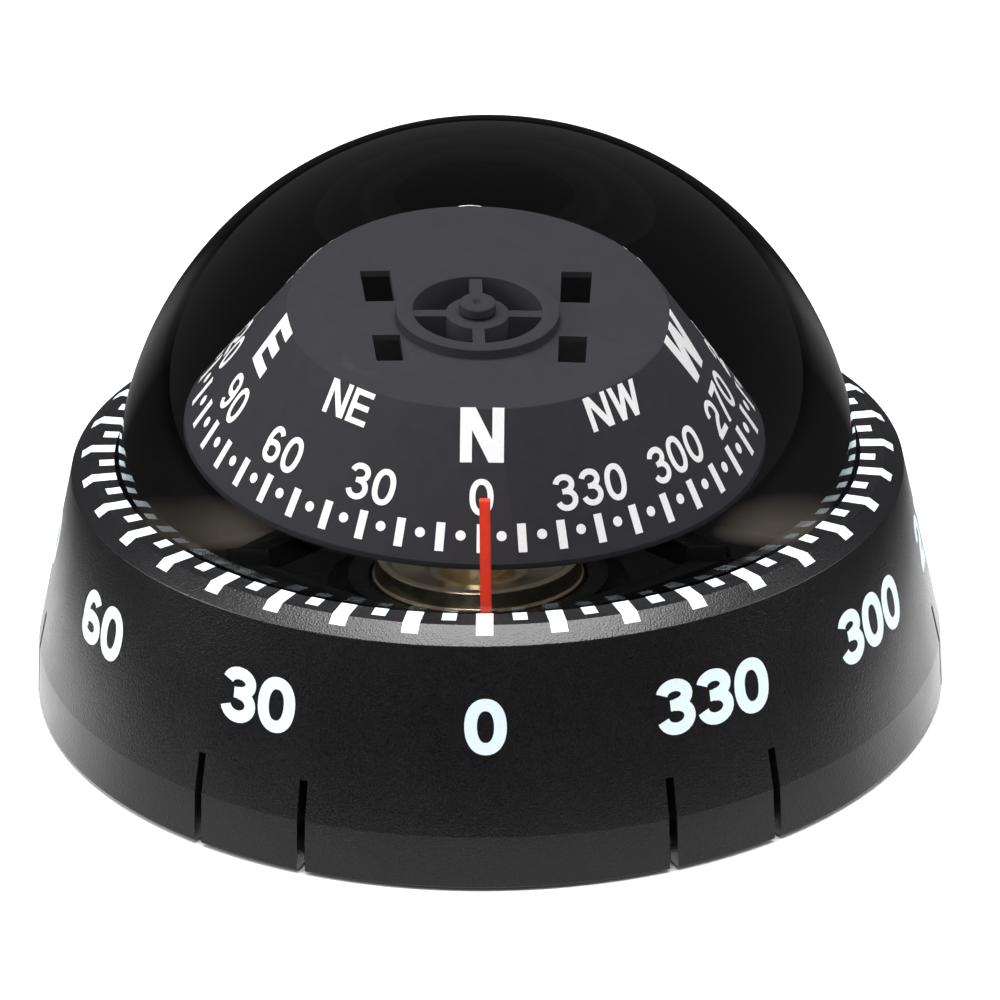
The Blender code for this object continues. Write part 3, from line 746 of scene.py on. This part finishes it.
def make_card():
    matrix = card_matrix()
    slope = (CARD_RIM_R - CARD_TOP_R) / (CARD_TOP - CARD_RIM)
    under = CARD_TOP - CARD_WALL
    inner_top = CARD_TOP_R - CARD_WALL * 0.6
    card = bmesh.new()
    revolve(card, rounded([
        (5.7, HUB_FOOT), (5.7, HUB_TOP, 0.12), (7.2, HUB_TOP, 0.12), (7.2, CARD_TOP, 0.1),
        (CARD_TOP_R, CARD_TOP, 0.2), (CARD_RIM_R, CARD_RIM, 0.15), (CARD_RIM_R, CARD_RIM - 0.6, 0.1),
        (CARD_RIM_R - 1.0, CARD_RIM - 0.6), (inner_top + slope * CARD_WALL, under), (6.4, under),
        (6.4, HUB_FOOT),
    ], closed=True, steps=3), FINE)
    boss = bmesh.new()
    revolve(boss, rounded([
        (1.1, BOSS_TOP), (2.8, BOSS_TOP, 0.12), (2.8, HUB_FOOT), (1.9, HUB_FOOT), (1.9, 2.6), (1.1, 2.6),
    ], closed=True, steps=3), 64)
    parts = [("UNION", boss)]
    for turn in range(4):
        spoke = bmesh.new()
        box(spoke, (2.4, -0.55, HUB_FOOT + 0.01), (6.0, 0.55, BOSS_TOP - 0.05), 90.0 * turn)
        parts.append(("UNION", spoke))
    for x in (-WINDOW_AT[0], WINDOW_AT[0]):
        for y in (-WINDOW_AT[1], WINDOW_AT[1]):
            window = bmesh.new()
            half = Vector((WINDOW_SIZE[0] / 2, WINDOW_SIZE[1] / 2, 0.0))
            centre = Vector((x + WINDOW_SHIFT[0], y + WINDOW_SHIFT[1], 0.0))
            box(window, centre - half, centre + half + Vector((0.0, 0.0, 5.0)))
            parts.append(("DIFFERENCE", window))
    mesh = combine(card, parts)
    mesh.shade_smooth()
    mesh.set_sharp_from_angle(angle=math.radians(25.0))
    add_piece("card", mesh, card_black, "card", ["compass_card"], matrix)

    cap = bmesh.new()
    revolve(cap, rounded([
        (0.0, 4.45), (0.28, 4.52), (0.5, 4.85, 0.1), (1.62, 4.85, 0.25), (1.62, BOSS_TOP + 0.3),
        (0.8, BOSS_TOP + 0.3), (0.8, 2.3), (1.6, 2.3), (1.6, -1.0), (1.0, -1.0), (1.0, 1.2), (0.0, 1.2),
    ]), 64, closed=False)
    add_piece("card_cap", cap, card_black, "card", ["jewel_cup"], matrix)


def make_card_marks():
    cone = Cone((CARD_TOP_R, CARD_TOP), (CARD_RIM_R, CARD_RIM))
    bm = bmesh.new()
    for degrees in range(0, 360, 10):
        place = cone.place(-degrees, 12.7)
        pairs, closed = bar((0.0, -1.42), (0.0, 1.42), 0.86, 4)
        put_stroke(bm, pairs, closed, place)
        dot = cone.place(-degrees - 5.0, 12.45)
        put_disc(bm, 0.5, dot)
        if degrees % 30 == 0:
            put_label(bm, str(degrees), 3.6, 2.35, 0.58, 0.4, cone.place(-degrees, 8.65))
    for name, degrees in (("N", 0), ("E", 90), ("S", 180), ("W", 270)):
        put_label(bm, name, 5.36, 3.95, 1.15, 0.3, cone.place(-degrees, 2.58))
    for name, degrees in (("NE", 45), ("SE", 135), ("SW", 225), ("NW", 315)):
        put_label(bm, name, 3.4, 2.4, 0.56, 0.35, cone.place(-degrees, 1.83))
    add_piece("card_marks", bm, card_white, "card", matrix=card_matrix())


def put_stroke(bm, pairs, closed, place):
    solid = stroke_solid(pairs, closed)
    verts = {v: bm.verts.new(place(v.co.x, v.co.y, v.co.z * PRINT) * MM) for v in solid.verts}
    for face in solid.faces:
        bm.faces.new([verts[v] for v in face.verts])
    solid.free()


def put_disc(bm, radius, place, steps=20):
    rim = arc((0.0, 0.0), (radius, radius), 0.0, 360.0, steps)[:-1]
    rows = [[bm.verts.new(place(p.x, p.y, z) * MM) for p in rim] for z in (-PRINT, PRINT)]
    bm.faces.new(rows[1])
    bm.faces.new(list(reversed(rows[0])))
    for i in range(steps):
        j = (i + 1) % steps
        bm.faces.new((rows[0][i], rows[0][j], rows[1][j], rows[1][i]))


def make_pendulum():
    """The brass dish that carries the needle, with rings turned in its floor."""
    base = GIMBAL.z
    profile = [
        (0.0, 0.0), (1.2, 0.0), (1.2, 2.2, 0.1), (3.0, 2.2, 0.25), (3.0, -0.3, 0.2), (3.9, -0.3, 0.2),
        (4.2, 0.3, 0.2), (7.0, 0.55, 0.5), (7.5, 1.2, 0.15), (8.2, 1.2, 0.2), (8.2, -0.4, 0.15),
        (8.45, -0.45, 0.12), (8.45, -1.2, 0.1), (0.0, -1.2),
    ]
    placed = [(p[0], p[1] + base, *p[2:]) for p in profile]
    bm = bmesh.new()
    revolve(bm, rounded(placed), 128, closed=False, centre=GIMBAL.xy)
    return add_piece("brass_dish", bm, brass, "pendulum", ["pivot_seat"])


def make_lubber():
    """The red lubber line, a flat pin with rounded edges."""
    low, high = (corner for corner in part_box("lubber_post"))
    middle, foot, top = (low + high) / 2 / MM, low.z / MM, high.z / MM
    half_x, half_y, edge = LUBBER_WIDTH / 2, 0.45, 0.12
    outline = [
        (-half_x, -half_y, edge), (half_x, -half_y, edge), (half_x, half_y, edge), (-half_x, half_y, edge),
    ]
    outline = rounded(outline, closed=True)
    bm = bmesh.new()
    rows = [
        [bm.verts.new((middle + Vector((x * size, y * size, 0.0))).xy.to_3d() * MM + Vector((0.0, 0.0, z * MM)))
         for x, y in outline]
        for z, size in ((foot, 1.0), (top - 0.12, 1.0), (top, 0.85))
    ]
    for row, after in zip(rows, rows[1:]):
        for i in range(len(outline)):
            j = (i + 1) % len(outline)
            bm.faces.new((row[i], row[j], after[j], after[i]))
    bm.faces.new(rows[0])
    bm.faces.new(rows[-1])
    add_piece("lubber_line", bm, lubber_red, "root", ["lubber_post"])


def hide_from_mirrors():
    """The inside of the dome doesn't show a second, mirrored compass."""
    mirrored = ("card", "card_cap", "card_marks", "lubber_line")
    pieces = [bpy.data.objects[name] for name in mirrored]
    inner = ("gimbal_ring", "gimbal_yoke", "pendulum_weight", "magnet_carrier", "magnet_left", "magnet_right",
             "roll_pin_left", "roll_pin_right", "pitch_pin_front", "pitch_pin_back", "fill_plug")
    screws = [name for name in frame["nodes"] if "screw" in name]
    for obj in pieces + [frame["nodes"][name] for name in (*inner, *screws)]:
        obj.visible_glossy = False


def make_carried_over():
    for node, material in (
        ("gimbal_ring", frame_black), ("gimbal_yoke", frame_black),
        ("pendulum_frame", frame_black), ("pendulum_weight", dark_brass), ("magnet_carrier", frame_black),
        ("capsule_bowl", bowl_black), ("mounting_base", base_black), ("retainer_ring", base_black),
        ("deck_gasket", rubber), ("diaphragm", rubber), ("diaphragm_cover", base_black),
        ("dome_seal", seal_rubber), ("fill_plug", dark_brass), ("fill_plug_seal", rubber), ("jewel", ruby),
        ("magnet_left", magnet_steel), ("magnet_right", magnet_steel), ("pivot_stem", steel),
        ("roll_pin_left", dark_brass), ("roll_pin_right", dark_brass), ("pitch_pin_front", dark_brass),
        ("pitch_pin_back", dark_brass),
    ):
        carry_over(node, material, 0.06 if "pin" in node or "jewel" in node else 0.12)
    for node in frame["nodes"]:
        if "screw" in node:
            carry_over(node, steel, 0.08)


# ---------------------------------------------------------------- stage, light and camera


def make_stage(dome, brass_parts, prints):
    scene = bpy.context.scene
    scene.view_settings.view_transform = "Standard"
    scene.view_settings.look = "None"

    bm = bmesh.new()
    bmesh.ops.create_grid(bm, x_segments=1, y_segments=1, size=4.0)
    floor = link("floor", finish_mesh(bm, "floor"))
    material = new_material("floor", (0.9, 0.9, 0.9), 0.9, IOR=1.3)
    floor.data.materials.append(material)
    # What mirrors in the object is a round white table, dimmer in front, and a glow behind each side
    tree = material.node_tree
    path = tree.nodes.new("ShaderNodeLightPath")
    place = tree.nodes.new("ShaderNodeTexCoord")
    length = tree.nodes.new("ShaderNodeVectorMath")
    length.operation = "LENGTH"
    split = tree.nodes.new("ShaderNodeSeparateXYZ")
    rim = map_range(tree, (0.078, 0.097), (1.0, 0.0))
    front = map_range(tree, (-0.035, -0.01), (0.75, 2.0))
    lit = add_math(tree, "MULTIPLY")
    side = add_math(tree, "ABSOLUTE")
    ratio = add_math(tree, "DIVIDE")
    rise = map_range(tree, (0.42, 0.62), (0.0, 0.2))
    drop = map_range(tree, (0.66, 1.1), (0.0, 0.2))
    glow = add_math(tree, "SUBTRACT")
    far = map_range(tree, (0.2, 0.7), (1.0, 0.3))
    faded = add_math(tree, "MULTIPLY")
    both = add_math(tree, "ADD")
    seen = add_math(tree, "MULTIPLY")
    mix = tree.nodes.new("ShaderNodeMix")
    mix.data_type = "RGBA"
    mix.inputs["A"].default_value = (0.9, 0.9, 0.9, 1.0)
    mix.inputs["B"].default_value = (0.0, 0.0, 0.0, 1.0)
    shader = tree.nodes["Principled BSDF"]
    shader.inputs["Emission Color"].default_value = (1.0, 1.0, 1.0, 1.0)
    for source, target in (
        (place.outputs["Object"], length.inputs[0]), (length.outputs["Value"], rim.inputs["Value"]),
        (place.outputs["Object"], split.inputs[0]), (split.outputs["Y"], front.inputs["Value"]),
        (rim.outputs["Result"], lit.inputs[0]), (front.outputs["Result"], lit.inputs[1]),
        (split.outputs["X"], side.inputs[0]), (side.outputs["Value"], ratio.inputs[0]),
        (split.outputs["Y"], ratio.inputs[1]), (ratio.outputs["Value"], rise.inputs["Value"]),
        (ratio.outputs["Value"], drop.inputs["Value"]), (rise.outputs["Result"], glow.inputs[0]),
        (drop.outputs["Result"], glow.inputs[1]), (length.outputs["Value"], far.inputs["Value"]),
        (glow.outputs["Value"], faded.inputs[0]), (far.outputs["Result"], faded.inputs[1]),
        (faded.outputs["Value"], both.inputs[0]),
        (lit.outputs["Value"], both.inputs[1]), (both.outputs["Value"], seen.inputs[0]), (path.outputs["Is Glossy Ray"], seen.inputs[1]),
        (seen.outputs["Value"], shader.inputs["Emission Strength"]),
        (path.outputs["Is Glossy Ray"], mix.inputs["Factor"]),
        (mix.outputs["Result"], shader.inputs["Base Color"]),
    ):
        tree.links.new(source, target)

    world = bpy.data.worlds.new("studio")
    scene.world = world
    world.use_nodes = True
    tree = world.node_tree
    background = tree.nodes["Background"]
    path = tree.nodes.new("ShaderNodeLightPath")
    mix = tree.nodes.new("ShaderNodeMix")
    mix.data_type = "RGBA"
    mix.inputs["A"].default_value = (0.085, 0.085, 0.09, 1.0)
    mix.inputs["B"].default_value = (1.0, 1.0, 1.0, 1.0)
    tree.links.new(path.outputs["Is Camera Ray"], mix.inputs["Factor"])
    tree.links.new(mix.outputs["Result"], background.inputs["Color"])

    add_lamp("overhead", (0.0, 0.0, 900.0), 800.0, 10.5, [dome], "EXCLUDE")
    add_lamp("front", (-100.0, -900.0, 650.0), 700.0, 0.3, [dome], "EXCLUDE")
    add_lamp("left", (-850.0, -100.0, 500.0), 600.0, 7.5, [dome], "EXCLUDE")
    add_lamp("right", (850.0, -50.0, 500.0), 600.0, 4.0, [dome], "EXCLUDE")
    add_lamp("low front", (-100.0, -600.0, 300.0), 250.0, 40.0, brass_parts, "INCLUDE")
    add_lamp("print", (-100.0, -600.0, 300.0), 250.0, 6.0, prints, "INCLUDE")


def add_lamp(name, place, size, radiance, receivers, state):
    """A round soft lamp that faces the compass and lights all but, or only, the receivers."""
    lamp = bpy.data.lights.new(name, "AREA")
    lamp.shape = "DISK"
    lamp.size = size * MM
    lamp.energy = radiance * math.pi * math.pi * (size * MM / 2) ** 2
    obj = bpy.data.objects.new(name, lamp)
    bpy.context.scene.collection.objects.link(obj)
    obj.location = Vector(place) * MM
    obj.rotation_euler = (Vector((0.0, 0.0, 20.0)) * MM - obj.location).to_track_quat("-Z", "Y").to_euler()
    group = bpy.data.collections.new(name + " receivers")
    for receiver in receivers:
        group.objects.link(receiver)
    obj.light_linking.receiver_collection = group
    for member in group.collection_objects:
        member.light_linking.link_state = state


def make_camera():
    """The view of the photograph: 25 degrees above the deck, from 0.65 m, turned 0.7 degrees."""
    elevation, azimuth, roll = math.radians(25.066), math.radians(0.672), math.radians(-0.6845)
    distance, aim = 648.2, Vector((1.46, -2.73, 23.82))
    toward = Vector((
        math.sin(azimuth) * math.cos(elevation), -math.cos(azimuth) * math.cos(elevation),
        math.sin(elevation),
    ))
    place = Vector((0.0, 0.0, LEDGE_Z)) + toward * distance
    data = bpy.data.cameras.new("camera")
    data.sensor_width = 36.0
    data.lens = 196.4
    data.clip_start, data.clip_end = 0.01, 50.0
    camera = bpy.data.objects.new("camera", data)
    bpy.context.scene.collection.objects.link(camera)
    turn = (aim - place).to_track_quat("-Z", "Y").to_matrix().to_4x4()
    camera.matrix_world = Matrix.Translation(place * MM) @ turn @ Matrix.Rotation(roll, 4, "Z")
    bpy.context.scene.camera = camera


make_bezel()
make_bezel_marks()
dome = make_dome()
make_card()
make_card_marks()
dish = make_pendulum()
make_lubber()
make_carried_over()
make_stage(dome, [dish], [bpy.data.objects[name] for name in ("lubber_line", "card_marks")])
make_camera()
hide_from_mirrors()
